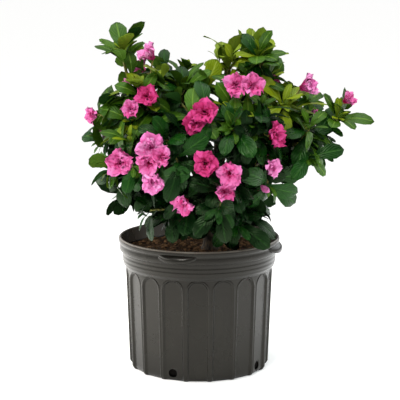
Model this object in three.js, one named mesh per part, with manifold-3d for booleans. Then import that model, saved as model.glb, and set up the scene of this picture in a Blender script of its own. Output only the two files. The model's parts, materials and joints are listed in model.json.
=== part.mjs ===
// An azalea shrub with double flowers, growing in a fluted nursery pot.
// Millimetres, +Z up. The origin is the middle of the pot's flat underside, and -Y is the shrub's front.
import * as THREE from "three";
import { mergeVertices } from "three/addons/utils/BufferGeometryUtils.js";
import Module from "manifold-3d";

const wasm = await Module();
wasm.setup();

// ---------------------------------------------------------------- driving dimensions

const gap = 0.3; // between pieces that touch on the real plant
const finest = 0.2; // the smallest step kept where leaves and twigs run together
const pot = {
  height: 230,
  footRadius: 117,
  bodyRadius: 127, // just under the rim band
  bandRadius: 134,
  collarRadius: 138.5,
  rimRadius: 140,
  wall: 4,
  floor: 3,
  sides: 36, // two to a panel
};
const panel = { count: 18, phase: -0.8, width: 36, top: 176, depth: 2.4 };
const lug = { headings: [-105.8, -15.8, 74.2], halfAngle: 14.5, reach: 147, top: 223, bottom: 210 };
const hole = { headings: [-112, -32, 68, 148], radius: 7.5, up: 13 };
const soil = { top: 205, sides: 24 };

const trunk = { foot: [20, -8], top: [8, -4, 264], radius: 9.5, flare: 0.8 };
const bough = { tipRadius: 2.8, taper: 0.013, bend: 0.25, sides: 5, steps: 3 };
const stem = { radius: 2.9, tipRadius: 2.1 };
const twig = { radius: 1.8, length: 46, tilt: 58 };
const leaf = {
  length: 64,
  width: 0.54, // this and the next are shares of the length
  widestAt: 0.58,
  thickness: 1.2,
  arch: 0.1,
  droop: 0.2,
  apart: 3, // from root to root along the twig
  shared: 8, // cubic mm that two leaves of a whorl may share at their roots
};
const bloom = { radius: 25, depth: 15, petals: 5, collar: 3, collarTilt: 80 };
const core = [0, 0, 350]; // the crown's middle, which flowers face away from

// One row for each shoot: a bough and the mass of leaves at its end. heading is measured from +X
// towards +Y; out and up place the head, where the stem's last leaves stand; rise is the stem's slope.
// from and at say where the bough leaves its parent. blooms are [heading, out, up, size].
const shoots = [
  { name: "top_centre", from: "trunk", at: 0.97, heading: 6, out: 51, up: 533, rise: 84, stem: 42, twigs: 1,
    leaves: 6, spread: 38, seed: 244, blooms: [] },
  { name: "left", from: "trunk", at: 0.9, heading: -154, out: 129, up: 434, rise: 18, stem: 42, twigs: 2,
    leaves: 6, spread: 65, seed: 74, blooms: [[-162, 191, 453, 0.6]] },
  { name: "right_mid", from: "trunk", at: 0.86, heading: -16, out: 192, up: 401, rise: 8, stem: 44,
    twigs: 3, leaves: 6, spread: 67, seed: 27, blooms: [] },
  { name: "front_centre", from: "trunk", at: 0.8, heading: -75, out: 159, up: 345, rise: 14, stem: 40,
    twigs: 1, leaves: 6, spread: 59, seed: 259,
    blooms: [[-87, 190, 387, 1], [-74, 198, 373, 1], [-78, 184, 333, 0.85]] },
  { name: "back_centre", from: "trunk", at: 0.84, heading: 96, out: 167, up: 419, rise: 20, stem: 44,
    twigs: 2, leaves: 6, spread: 76, seed: 74, blooms: [[98, 205, 425, 1], [84, 212, 385, 0.9]] },
  { name: "lower_left", from: "trunk", at: 0.55, heading: -157, out: 127, up: 339, rise: -4, stem: 40,
    twigs: 2, leaves: 6, spread: 77, seed: 304, blooms: [] },
  { name: "front_low_right", from: "trunk", at: 0.5, heading: -49, out: 117, up: 283, rise: 4, stem: 36,
    twigs: 2, leaves: 6, spread: 77, seed: 145, blooms: [] },
  { name: "top_left", from: "left", at: 0.5, heading: -160, out: 138, up: 548, rise: 76, stem: 42, twigs: 1,
    leaves: 7, spread: 39, seed: 387, blooms: [] },
  { name: "upper_left", from: "left", at: 0.34, heading: -138, out: 128, up: 493, rise: 80, stem: 36,
    twigs: 1, leaves: 7, spread: 50, seed: 377, blooms: [[-144, 102, 554, 0.8]] },
  { name: "left_shoulder", from: "left", at: 0.6, heading: -144, out: 130, up: 466, rise: 42, stem: 36,
    twigs: 1, leaves: 6, spread: 63, seed: 299,
    blooms: [[-154, 135, 502, 0.45], [-126, 152, 492, 0.9], [-135, 165, 466, 0.7]] },
  { name: "left_mid", from: "left", at: 0.4, heading: -133, out: 172, up: 379, rise: 4, stem: 38, twigs: 2,
    leaves: 6, spread: 65, seed: 100, blooms: [[-137, 191, 378, 1.1]] },
  { name: "back_left", from: "left", at: 0.3, heading: 149, out: 169, up: 399, rise: 16, stem: 42, twigs: 2,
    leaves: 6, spread: 81, seed: 115, blooms: [[148, 212, 420, 0.95]] },
  { name: "centre_left_top", from: "top_centre", at: 0.4, heading: -118, out: 64, up: 492, rise: 84,
    stem: 44, twigs: 1, leaves: 7, spread: 45, seed: 329, blooms: [] },
  { name: "top_right", from: "top_centre", at: 0.5, heading: 2, out: 109, up: 531, rise: 66, stem: 42,
    twigs: 2, leaves: 6, spread: 37, seed: 298, blooms: [] },
  { name: "back_left_top", from: "top_centre", at: 0.3, heading: 129, out: 98, up: 494, rise: 62, stem: 42,
    twigs: 2, leaves: 6, spread: 76, seed: 61, blooms: [[140, 138, 520, 0.9]] },
  { name: "back_right_top", from: "top_centre", at: 0.36, heading: 51, out: 141, up: 492, rise: 62,
    stem: 42, twigs: 2, leaves: 6, spread: 58, seed: 284, blooms: [[48, 150, 528, 1]] },
  { name: "right_upper", from: "right_mid", at: 0.45, heading: -6, out: 154, up: 450, rise: 56, stem: 44,
    twigs: 2, leaves: 6, spread: 53, seed: 139, blooms: [[-6, 184, 498, 0.85], [9, 130, 500, 0.5]] },
  { name: "right_far", from: "right_mid", at: 0.66, heading: 0, out: 241, up: 435, rise: 34, stem: 46,
    twigs: 1, leaves: 6, spread: 43, seed: 158, blooms: [[-3, 256, 470, 0.6]] },
  { name: "lower_right", from: "right_mid", at: 0.38, heading: -36, out: 139, up: 380, rise: -6, stem: 40,
    twigs: 2, leaves: 6, spread: 68, seed: 243, blooms: [[-45, 172, 368, 0.7], [-43, 150, 333, 0.45]] },
  { name: "back_right", from: "right_mid", at: 0.3, heading: 40, out: 229, up: 406, rise: 18, stem: 44,
    twigs: 2, leaves: 6, spread: 61, seed: 272, blooms: [[28, 246, 418, 0.95]] },
  { name: "front_upper", from: "front_centre", at: 0.34, heading: -90, out: 131, up: 449, rise: 50,
    stem: 40, twigs: 2, leaves: 6, spread: 50, seed: 182,
    blooms: [[-94, 156, 455, 1], [-86, 156, 471, 1]] },
  { name: "upper_centre", from: "front_centre", at: 0.26, heading: -54, out: 92, up: 461, rise: 62,
    stem: 40, twigs: 1, leaves: 6, spread: 50, seed: 258,
    blooms: [[-62, 138, 510, 0.95], [-56, 153, 507, 0.95]] },
  { name: "front_left", from: "front_centre", at: 0.46, heading: -109, out: 161, up: 418, rise: 16,
    stem: 38, twigs: 1, leaves: 6, spread: 53, seed: 266,
    blooms: [[-117, 191, 418, 1.1], [-116, 194, 390, 0.85], [-109, 188, 393, 0.8], [-116, 188, 353, 0.9]] },
  { name: "front_low_left", from: "front_centre", at: 0.2, heading: -112, out: 112, up: 292, rise: -2,
    stem: 36, twigs: 2, leaves: 6, spread: 72, seed: 187, blooms: [[-98, 167, 316, 0.95]] },
  { name: "front_right", from: "front_centre", at: 0.4, heading: -57, out: 152, up: 437, rise: 24, stem: 40,
    twigs: 2, leaves: 6, spread: 58, seed: 234, blooms: [[-50, 195, 429, 1]] },
  { name: "back_low_left", from: "back_centre", at: 0.22, heading: 112, out: 157, up: 295, rise: -2,
    stem: 38, twigs: 2, leaves: 6, spread: 75, seed: 197, blooms: [[132, 188, 330, 0.9]] },
  { name: "back_low_right", from: "back_centre", at: 0.28, heading: 65, out: 200, up: 307, rise: -2,
    stem: 38, twigs: 2, leaves: 6, spread: 59, seed: 170, blooms: [[52, 198, 335, 0.9]] },
];

// ---------------------------------------------------------------- materials

const plastic = new THREE.MeshStandardMaterial({ color: 0x4a4844, roughness: 0.45, metalness: 0 });
const earth = new THREE.MeshStandardMaterial({ color: 0x3a2417, roughness: 0.95, metalness: 0 });
const bark = new THREE.MeshStandardMaterial({ color: 0x5b4632, roughness: 0.85, metalness: 0 });
const foliage = new THREE.MeshStandardMaterial({ color: 0x1f5a1c, roughness: 0.45, metalness: 0 });

// ---------------------------------------------------------------- solids and small sums

const radians = THREE.MathUtils.degToRad;
const goldenAngle = Math.PI * (3 - Math.sqrt(5));

// A geometry as a solid that can be joined and cut.
function solidOf(geometry) {
  const bare = new THREE.BufferGeometry();
  bare.setAttribute("position", geometry.getAttribute("position"));
  bare.setIndex(geometry.getIndex());
  const merged = mergeVertices(bare);
  return new wasm.Manifold(
    new wasm.Mesh({
      numProp: 3,
      vertProperties: merged.getAttribute("position").array,
      triVerts: new Uint32Array(merged.getIndex().array),
    }),
  );
}

function meshOf(name, solid, material) {
  const { vertProperties, triVerts } = solid.getMesh();
  const geometry = new THREE.BufferGeometry();
  geometry.setAttribute("position", new THREE.BufferAttribute(vertProperties, 3));
  geometry.setIndex(new THREE.BufferAttribute(triVerts, 1));
  geometry.computeVertexNormals();
  const mesh = new THREE.Mesh(geometry, material);
  mesh.name = name;
  return mesh;
}

// Joins solids that cross, fills any hollow sealed inside them and drops any loose scrap.
function fuse(solids) {
  const bodies = wasm.Manifold.union(solids).simplify(finest).decompose();
  return bodies.reduce((most, body) => (body.volume() > most.volume() ? body : most));
}

const seedStep = 977; // spreads small seeds apart

// The same numbers each run, from a whole seed above zero.
function makeRandom(seed) {
  let state = seed;
  return () => {
    state = (state * 48271) % 2147483647;
    return state / 2147483647;
  };
}

function place(heading, out, up) {
  const turn = radians(heading);
  return new THREE.Vector3(out * Math.cos(turn), out * Math.sin(turn), up);
}

function slope(heading, rise) {
  const lean = radians(rise);
  return place(heading, Math.cos(lean), Math.sin(lean));
}

// Two unit vectors square to an axis and to each other.
function across(axis) {
  const hint = Math.abs(axis.z) < 0.9 ? new THREE.Vector3(0, 0, 1) : new THREE.Vector3(1, 0, 0);
  const first = new THREE.Vector3().crossVectors(hint, axis).normalize();
  return [first, new THREE.Vector3().crossVectors(axis, first)];
}

// The direction that leans from an axis by tilt, on the side that turn gives.
function leaning(axis, turn, tilt) {
  const [first, second] = across(axis);
  return axis
    .clone()
    .multiplyScalar(Math.cos(tilt))
    .addScaledVector(first, Math.cos(turn) * Math.sin(tilt))
    .addScaledVector(second, Math.sin(turn) * Math.sin(tilt))
    .normalize();
}

// Stands a shape made along +Y on a point, along a direction, with its +Z side towards facing.
function standing(geometry, point, direction, facing) {
  const top = facing.clone().addScaledVector(direction, -facing.dot(direction)).normalize();
  const side = new THREE.Vector3().crossVectors(direction, top);
  return geometry.applyMatrix4(new THREE.Matrix4().makeBasis(side, direction, top).setPosition(point));
}

// ---------------------------------------------------------------- pot and soil

// A profile of [radius, height] pairs turned about the Z axis.
function turned(profile, sides) {
  const points = profile.map(([radius, height]) => new THREE.Vector2(radius, height));
  return new THREE.LatheGeometry(points, sides).rotateX(Math.PI / 2);
}

function bodyRadiusAt(height) {
  return THREE.MathUtils.mapLinear(height, 6, 168, pot.footRadius + 4, pot.bodyRadius);
}

function potShell() {
  const inner = (radius) => radius - pot.wall;
  const profile = [
    [0, 0],
    [pot.footRadius, 0],
    [bodyRadiusAt(6), 6],
    [pot.bodyRadius + 0.4, 177],
    [pot.bandRadius - 2, 184],
    [pot.bandRadius, 205],
    [pot.collarRadius, 208],
    [pot.collarRadius, 217],
    [pot.rimRadius, 222],
    [pot.rimRadius, 228],
    [pot.rimRadius - 2, pot.height],
    [pot.rimRadius - 5, pot.height],
    [inner(pot.bandRadius), 205],
    [inner(pot.bodyRadius), 176],
    [inner(bodyRadiusAt(6)), 8],
    [inner(pot.footRadius), pot.floor],
    [0, pot.floor],
  ];
  return solidOf(turned(profile, pot.sides).rotateZ(radians(panel.phase))); // an edge up each panel's middle
}

// Cuts one flat, round-topped panel into the wall: an arch pushed in from outside.
function panelCutter(heading) {
  const half = panel.width / 2;
  const arch = new THREE.Shape();
  arch.moveTo(-half, -20);
  arch.lineTo(half, -20);
  arch.lineTo(half, panel.top - half);
  arch.absarc(0, panel.top - half, half, 0, Math.PI, false);
  arch.lineTo(-half, -20);
  const geometry = new THREE.ExtrudeGeometry(arch, { depth: 30, bevelEnabled: false, curveSegments: 4 });
  const lean = Math.atan2(bodyRadiusAt(160) - bodyRadiusAt(10), 150);
  geometry.rotateX(Math.PI / 2 + lean);
  geometry.rotateZ(Math.PI);
  geometry.translate(0, bodyRadiusAt(0) - panel.depth, 0);
  geometry.rotateZ(radians(heading - 90));
  return solidOf(geometry);
}

function drainHole(heading) {
  const geometry = new THREE.CylinderGeometry(hole.radius, hole.radius, 24, 10);
  geometry.translate(0, pot.footRadius, 0).rotateZ(radians(heading - 90)).translate(0, 0, hole.up);
  return solidOf(geometry);
}

// A finger grip: a short stretch of turned lip under the rim, cut out by a wedge.
function gripLug(heading) {
  const lip = [
    [pot.collarRadius - 2.5, lug.top],
    [pot.collarRadius - 2.5, lug.bottom + 4],
    [lug.reach - 3, lug.bottom + 6],
    [lug.reach - 3, lug.bottom],
    [lug.reach, lug.bottom],
    [lug.reach, lug.top - 4],
    [pot.collarRadius - 2.5, lug.top],
  ];
  const wedge = new THREE.Shape();
  const far = 2 * lug.reach;
  const half = radians(lug.halfAngle);
  wedge.moveTo(0, 0);
  wedge.lineTo(far * Math.cos(half), -far * Math.sin(half));
  wedge.lineTo(far * Math.cos(half), far * Math.sin(half));
  const cut = new THREE.ExtrudeGeometry(wedge, { depth: pot.height, bevelEnabled: false });
  cut.rotateZ(radians(heading));
  return solidOf(turned(lip, pot.sides)).intersect(solidOf(cut));
}

function makePot() {
  let shell = potShell();
  for (const heading of lug.headings) {
    shell = shell.add(gripLug(heading));
  }
  for (let i = 0; i < panel.count; i++) {
    shell = shell.subtract(panelCutter(-90 + panel.phase + (i * 360) / panel.count));
  }
  for (const heading of hole.headings) {
    shell = shell.subtract(drainHole(heading));
  }
  return shell;
}

function makeSoil() {
  const inside = (height) => bodyRadiusAt(height) - pot.wall - 1.5;
  const bottom = pot.floor + gap;
  const profile = [
    [0, bottom],
    [pot.footRadius - pot.wall - 3, bottom],
    [inside(10), 10],
    [inside(168), 168],
    [pot.bandRadius - pot.wall - 4, soil.top],
    [0, soil.top],
  ];
  return solidOf(turned(profile, soil.sides));
}

// ---------------------------------------------------------------- trunk and boughs

// A limb along a curve, its radius at each share of the length given by radiusAt.
function limbGeometry(curve, radiusAt, sides, steps) {
  const geometry = new THREE.CylinderGeometry(1, 1, 1, sides, steps);
  const { normals, binormals } = curve.computeFrenetFrames(steps, false);
  const position = geometry.getAttribute("position");
  for (let i = 0; i < position.count; i++) {
    const step = Math.round((position.getY(i) + 0.5) * steps);
    const radius = radiusAt(step / steps);
    const point = curve
      .getPointAt(step / steps)
      .addScaledVector(normals[step], radius * position.getX(i))
      .addScaledVector(binormals[step], -radius * position.getZ(i));
    position.setXYZ(i, point.x, point.y, point.z);
  }
  return geometry;
}

function makeTrunk() {
  const [x, y] = trunk.foot;
  const foot = new THREE.Vector3(x, y, soil.top + gap);
  const top = new THREE.Vector3(...trunk.top);
  const curve = new THREE.QuadraticBezierCurve3(foot, new THREE.Vector3(x, y, 230), top);
  const radiusAt = (share) => trunk.radius * (1 + trunk.flare * (1 - share) ** 3);
  return { curve, radiusAt, sides: 8, steps: 5 };
}

// A bough leaves its parent's middle and ends where its shoot's stem begins.
function makeBough(shoot, parent) {
  const start = parent.curve.getPointAt(shoot.at);
  const aim = slope(shoot.heading, shoot.rise);
  const end = place(shoot.heading, shoot.out, shoot.up).addScaledVector(aim, -shoot.stem);
  const span = start.distanceTo(end);
  const bend = end.clone().addScaledVector(aim, -bough.bend * span);
  const curve = new THREE.QuadraticBezierCurve3(start, bend, end);
  const baseRadius = bough.tipRadius + bough.taper * curve.getLength();
  const radiusAt = (share) => THREE.MathUtils.lerp(baseRadius, bough.tipRadius, share);
  return { curve, radiusAt, sides: bough.sides, steps: bough.steps };
}

function limbSolid(limb, grow = 0) {
  const radiusAt = (share) => limb.radiusAt(share) + grow;
  return solidOf(limbGeometry(limb.curve, radiusAt, limb.sides, limb.steps));
}

// ---------------------------------------------------------------- twigs, leaves and flowers

// A three-sided twig from a point, sunk a little into what it stands on.
function twigGeometry(start, direction, length, baseRadius, tipRadius) {
  const geometry = new THREE.CylinderGeometry(tipRadius, baseRadius, length, 3).translate(0, length / 2, 0);
  return standing(geometry, start, direction, across(direction)[0]);
}

// A leaf of eight faces: root and tip, two edges, and an upper and a lower face bowed upwards.
function leafGeometry(length, grow = 0) {
  const geometry = new THREE.OctahedronGeometry(1);
  const position = geometry.getAttribute("position");
  const halfWidth = (length * leaf.width) / 2 + grow;
  for (let i = 0; i < position.count; i++) {
    const end = Math.round(position.getY(i));
    const along = end === 0 ? length * leaf.widestAt : end > 0 ? length + grow : 0;
    const bow = end === 0 ? length * leaf.arch : 0;
    const thick = (position.getZ(i) * leaf.thickness) / 2;
    const clear = Math.sign(Math.round(position.getZ(i))) * grow;
    position.setXYZ(i, position.getX(i) * halfWidth, along, bow + thick + clear);
  }
  return geometry;
}

// A double flower: a cone flaring to a five-lobed edge, with a raised, ruffled middle.
function bloomGeometry(size, grow = 0) {
  const radius = bloom.radius * size + grow;
  const depth = bloom.depth * size;
  const profile = [
    [0, -grow],
    [radius, depth],
    [0, depth * 1.3 + grow],
  ];
  const points = profile.map(([out, up]) => new THREE.Vector2(out, up));
  const geometry = new THREE.LatheGeometry(points, 2 * bloom.petals);
  const position = geometry.getAttribute("position");
  for (let i = 0; i < position.count; i++) {
    const turn = Math.atan2(position.getZ(i), position.getX(i));
    const lobe = 0.88 + 0.12 * Math.cos(bloom.petals * turn);
    position.setXYZ(i, position.getX(i) * lobe, position.getY(i), position.getZ(i) * lobe);
  }
  return geometry;
}

// The ends of a shoot: its stem's head, its side twigs' tips, and the foot of each flower.
function planEnds(shoot, axis, foot, random) {
  const head = place(shoot.heading, shoot.out, shoot.up);
  const ends = [{ start: foot, tip: head, leaves: shoot.leaves, spread: shoot.spread, size: 0 }];
  const phase = random() * 2 * Math.PI;
  for (let i = 0; i < shoot.twigs; i++) {
    const share = 0.3 + (0.5 * (i + random())) / shoot.twigs;
    const start = foot.clone().addScaledVector(axis, shoot.stem * share);
    const tilt = radians(twig.tilt) * (0.85 + 0.3 * random());
    const length = twig.length * (0.8 + 0.4 * random());
    const tip = start.clone().addScaledVector(leaning(axis, phase + i * goldenAngle, tilt), length);
    ends.push({ start, tip, leaves: shoot.leaves - 1, spread: shoot.spread, size: 0 });
  }
  shoot.blooms.forEach(([heading, out, up, size], i) => {
    const start = foot.clone().addScaledVector(axis, (shoot.stem * (i + 0.5)) / shoot.blooms.length);
    const face = place(heading, out, up);
    const tip = face.clone().addScaledVector(awayFromCore(face), -bloom.depth * size);
    ends.push({ start, tip, leaves: bloom.collar, spread: bloom.collarTilt, size });
  });
  return ends;
}

function awayFromCore(point) {
  return point.clone().sub(new THREE.Vector3(...core)).normalize();
}

// The leaves round an end, in a spiral: the last and innermost stand up, the first and outermost spread.
function planWhorl(end, random) {
  const first = random() * 2 * Math.PI;
  return Array.from({ length: end.leaves }, (_, i) => ({
    turn: first + i * goldenAngle + 0.3 * random(),
    tilt: radians(end.spread) * (0.6 + (0.7 * i) / end.leaves + 0.25 * random()),
    length: leaf.length * (0.78 + 0.34 * random()),
    back: 2 + leaf.apart * i,
  }));
}

// Everything that a shoot's rule draws, before anything is left out.
function planShoot(shoot) {
  const random = makeRandom(shoot.seed * seedStep);
  const axis = slope(shoot.heading, shoot.rise);
  const foot = place(shoot.heading, shoot.out, shoot.up).addScaledVector(axis, -shoot.stem);
  const ends = planEnds(shoot, axis, foot, random);
  for (const end of ends) {
    end.direction = end.tip.clone().sub(end.start).normalize();
    end.whorl = planWhorl(end, random);
  }
  return { shoot, axis, foot, ends };
}

// ---------------------------------------------------------------- the crown

// Keeps what has been grown, and tells whether a new piece would touch another mass, a limb or the pot.
class Crown {
  constructor() {
    this.pieces = [];
  }

  add(owner, group, solid) {
    this.pieces.push({ owner, group, solid, box: solid.boundingBox() });
  }

  // allowance gives the volume that a piece may share with the new one.
  touches(solid, allowance) {
    const box = solid.boundingBox();
    return this.pieces.some(
      (piece) =>
        [0, 1, 2].every((i) => piece.box.min[i] < box.max[i] && piece.box.max[i] > box.min[i]) &&
        piece.solid.intersect(solid).volume() > allowance(piece),
    );
  }

  solidsOf(owner) {
    return this.pieces.filter((piece) => piece.owner === owner).map((piece) => piece.solid);
  }
}

const fat = 0.35; // how far a piece is grown when it is tested, so that masses stay clear of each other

// The stem starts clear of its bough's tip.
function growStem(crown, { shoot, axis, ends: [end] }) {
  const start = end.start.clone().addScaledVector(axis, gap);
  const geometry = twigGeometry(start, axis, shoot.stem - gap, stem.radius, stem.tipRadius);
  crown.add(shoot.name, "wood", solidOf(geometry));
  end.grown = true;
}

// Side twigs, and a flower on those that end in one.
function growTwigs(crown, { shoot, ends }, flowering) {
  const allowance = (piece) => (piece.owner === shoot.name ? Infinity : 0);
  for (const end of ends.slice(1).filter(({ size }) => size > 0 === flowering)) {
    const length = end.start.distanceTo(end.tip);
    const shapes = (grow) => {
      const wood = twigGeometry(end.start, end.direction, length, twig.radius + grow, twig.radius + grow);
      if (!flowering) return [solidOf(wood)];
      const away = awayFromCore(end.tip);
      const foot = end.tip.clone().addScaledVector(away, -2);
      return [solidOf(wood), solidOf(standing(bloomGeometry(end.size, grow), foot, away, across(away)[0]))];
    };
    end.grown = !shapes(fat).some((solid) => crown.touches(solid, allowance));
    if (!end.grown) continue;
    const [wood, flower] = shapes(0);
    crown.add(shoot.name, "wood", wood);
    if (flowering) crown.add(shoot.name, "bloom", flower);
  }
}

// A leaf is tried as drawn, then a little more open or closed, and left out if none is clear.
const tries = [0, 9, -9, 18, -18, 27];

function growLeaves(crown, { shoot, ends }, heads) {
  ends.forEach((end, number) => {
    if (!end.grown) return;
    const group = `whorl${number}`;
    const allowance = (piece) => {
      if (piece.owner !== shoot.name) return 0;
      return piece.group === "wood" ? Infinity : piece.group === group ? leaf.shared : 0;
    };
    const facing = end.direction.clone().add(new THREE.Vector3(0, 0, 0.8));
    for (const { turn, tilt, length, back } of end.whorl) {
      const root = end.tip.clone().addScaledVector(end.direction, -back);
      for (const more of tries) {
        const direction = leaning(end.direction, turn, tilt + radians(more));
        direction.z -= leaf.droop * Math.sin(tilt);
        direction.normalize();
        const middle = root.clone().addScaledVector(direction, length / 2);
        if (nearestName(heads, middle) !== shoot.name) continue;
        const shape = (grow) => solidOf(standing(leafGeometry(length, grow), root, direction, facing));
        if (crown.touches(shape(fat), allowance)) continue;
        crown.add(shoot.name, group, shape(0));
        break;
      }
    }
  });
}

function nearestName(heads, point) {
  return heads.reduce((a, b) => (point.distanceTo(b.tip) < point.distanceTo(a.tip) ? b : a)).name;
}

// ---------------------------------------------------------------- the whole plant

const plant = new THREE.Group();
const crown = new Crown();

const potSolid = makePot();
const soilSolid = makeSoil();
crown.add("pot", "solid", potSolid);
crown.add("soil", "solid", soilSolid);
plant.add(meshOf("pot", potSolid, plastic), meshOf("soil", soilSolid, earth));

const limbs = { trunk: makeTrunk() };
const trunkSolid = limbSolid(limbs.trunk);
crown.add("trunk", "solid", trunkSolid);
plant.add(meshOf("trunk", trunkSolid, bark));

for (const shoot of shoots) {
  const limb = makeBough(shoot, limbs[shoot.from]);
  const fork = wasm.Manifold.union(Object.values(limbs).map((other) => limbSolid(other, gap)));
  limbs[shoot.name] = limb;
  const solid = fuse([limbSolid(limb).subtract(fork)]);
  crown.add(`bough_${shoot.name}`, "solid", solid);
  plant.add(meshOf(`bough_${shoot.name}`, solid, bark));
}

const plans = shoots.map((shoot) => planShoot(shoot));
const heads = plans.map(({ shoot, ends: [end] }) => ({ name: shoot.name, tip: end.tip }));
plans.forEach((plan) => growStem(crown, plan));
plans.forEach((plan) => growTwigs(crown, plan, true));
plans.forEach((plan) => growTwigs(crown, plan, false));
plans.forEach((plan) => growLeaves(crown, plan, heads));

for (const { shoot } of plans) {
  plant.add(meshOf(`mass_${shoot.name}`, fuse(crown.solidsOf(shoot.name)), foliage));
}

export default plant;
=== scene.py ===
# An azalea shrub with double flowers in its fluted nursery pot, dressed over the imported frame.
# Sizes in the dictionaries are millimetres and degrees. Finished meshes are in metres.
import json
import math
import bmesh
import bpy
import numpy as np
from mathutils import Matrix, Vector, noise

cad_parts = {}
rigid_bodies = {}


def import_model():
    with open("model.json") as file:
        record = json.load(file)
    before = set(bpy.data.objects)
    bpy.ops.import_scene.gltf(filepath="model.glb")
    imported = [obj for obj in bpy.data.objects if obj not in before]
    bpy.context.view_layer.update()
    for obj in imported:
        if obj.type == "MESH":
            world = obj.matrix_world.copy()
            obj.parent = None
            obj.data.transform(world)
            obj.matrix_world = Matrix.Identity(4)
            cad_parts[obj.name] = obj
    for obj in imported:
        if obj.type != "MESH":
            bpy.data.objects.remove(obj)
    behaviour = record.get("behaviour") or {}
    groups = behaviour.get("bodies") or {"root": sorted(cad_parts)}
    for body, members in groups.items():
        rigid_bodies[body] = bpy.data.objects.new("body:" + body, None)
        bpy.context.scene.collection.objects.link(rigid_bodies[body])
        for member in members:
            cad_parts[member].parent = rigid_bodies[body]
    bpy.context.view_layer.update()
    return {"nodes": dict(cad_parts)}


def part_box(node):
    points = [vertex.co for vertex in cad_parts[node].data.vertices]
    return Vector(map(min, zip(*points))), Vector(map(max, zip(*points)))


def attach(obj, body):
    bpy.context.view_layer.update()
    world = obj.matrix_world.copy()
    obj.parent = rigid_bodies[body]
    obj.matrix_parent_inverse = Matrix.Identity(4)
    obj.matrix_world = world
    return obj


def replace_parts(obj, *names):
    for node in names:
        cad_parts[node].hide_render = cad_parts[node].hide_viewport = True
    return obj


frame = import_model()
toMetres = 0.001
goldenAngle = math.pi * (3 - math.sqrt(5))
fullTurn = 2 * math.pi
seedStep = 977
massNodes = sorted(name for name in frame["nodes"] if name.startswith("mass_"))
limbNodes = ["trunk"] + sorted(name for name in frame["nodes"] if name.startswith("bough_"))

view = {"place": (0.00135, -2.559, 0.758), "pitch": 10.31, "roll": 0.14, "lens": 134.82, "sensor": 36.0}
studio = {
    "sky": 0.32,
    "overhead": (2.35, 70),  # a wide soft lamp straight above: strength, degrees across
    "floorSize": 60.0,  # metres, so that no edge shows
    "floorColour": "#fafaf9",
    # name: place, aim, size, watts, colour. The floor lamps light the paper that the pot's sides mirror.
    "lamps": {
        "leftFloor": ((-0.75, 0.25, 0.4), (-0.75, 0.25, 0), (1.0, 1.5), 12.5, (1.0, 0.97, 0.92)),
        "rightFloor": ((0.75, 0.05, 0.4), (0.75, 0.05, 0), (1.0, 1.5), 8.5, (0.94, 0.98, 1.0)),
        "upperLeft": ((-1.5, 0.0, 1.1), (0, 0, 0.4), (1.6, 0.7), 8, (1.0, 1.0, 1.0)),
        "frontBox": ((-0.7, -2.1, 2.6), (0, 0, 0.35), (0.7, 0.7), 36, (1.0, 0.99, 0.96)),
    },
}


def addObject(name, data):
    made = bpy.data.objects.new(name, data)
    bpy.context.scene.collection.objects.link(made)
    return made


def makeCamera():
    data = bpy.data.cameras.new("view")
    data.lens, data.sensor_width, data.sensor_fit = view["lens"], view["sensor"], "HORIZONTAL"
    data.clip_end = 200
    camera = addObject("view", data)
    pitch = Matrix.Rotation(math.radians(90 - view["pitch"]), 4, "X")
    roll = Matrix.Rotation(math.radians(view["roll"]), 4, "Z")
    camera.matrix_world = Matrix.Translation(view["place"]) @ pitch @ roll
    bpy.context.scene.camera = camera


def linearColour(code):
    parts = [int(code[i : i + 2], 16) / 255 for i in (1, 3, 5)]
    return tuple(p / 12.92 if p <= 0.04045 else ((p + 0.055) / 1.055) ** 2.4 for p in parts) + (1.0,)


def linkMesh(name, bm, material, smooth=True):
    mesh = bpy.data.meshes.new(name)
    bm.to_mesh(mesh)
    bm.free()
    mesh.materials.append(material)
    mesh.polygons.foreach_set("use_smooth", [smooth] * len(mesh.polygons))
    return addObject(name, mesh)


def makeStudio():
    scene = bpy.context.scene
    scene.view_settings.view_transform = "Standard"
    world = bpy.data.worlds.new("studio")
    world.use_nodes = True
    sky = world.node_tree.nodes["Background"].inputs
    sky["Color"].default_value, sky["Strength"].default_value = (1, 1, 1, 1), studio["sky"]
    scene.world = world
    for name, (spot, aim, size, watts, colour) in studio["lamps"].items():
        data = bpy.data.lights.new(name, "AREA")
        data.shape, data.energy, data.color = "RECTANGLE", watts, colour
        data.size, data.size_y = size
        lamp = addObject(name, data)
        lamp.location = spot
        lamp.rotation_euler = (Vector(aim) - Vector(spot)).to_track_quat("-Z", "Y").to_euler()
    data = bpy.data.lights.new("overhead", "SUN")
    data.energy, data.angle = studio["overhead"][0], math.radians(studio["overhead"][1])
    addObject("overhead", data)
    material = bpy.data.materials.new("floorPaper")
    material.use_nodes = True
    shader = material.node_tree.nodes["Principled BSDF"]
    shader.inputs["Base Color"].default_value = linearColour(studio["floorColour"])
    shader.inputs["Roughness"].default_value = 0.9
    bm = bmesh.new()
    bmesh.ops.create_grid(bm, x_segments=4, y_segments=4, size=studio["floorSize"] / 2)
    linkMesh("floor", bm, material)


makeCamera()
makeStudio()
print("camera and studio are up")


# The sums that the growing rule uses, the same as in the solid model.
def makeRandom(seed):
    state = [seed]

    def draw():
        state[0] = state[0] * 48271 % 2147483647
        return state[0] / 2147483647

    return draw


def unit(vector):
    return vector / np.linalg.norm(vector)


def place(heading, out, up):
    turn = math.radians(heading)
    return np.array([out * math.cos(turn), out * math.sin(turn), up])


def slope(heading, rise):
    lean = math.radians(rise)
    return place(heading, math.cos(lean), math.sin(lean))


def across(axis):
    hint = np.array([0.0, 0.0, 1.0]) if abs(axis[2]) < 0.9 else np.array([1.0, 0.0, 0.0])
    first = unit(np.cross(hint, axis))
    return first, np.cross(axis, first)


def leaning(axis, turn, tilt):
    first, second = across(axis)
    side = first * math.cos(turn) + second * math.sin(turn)
    return unit(axis * math.cos(tilt) + side * math.sin(tilt))


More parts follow.
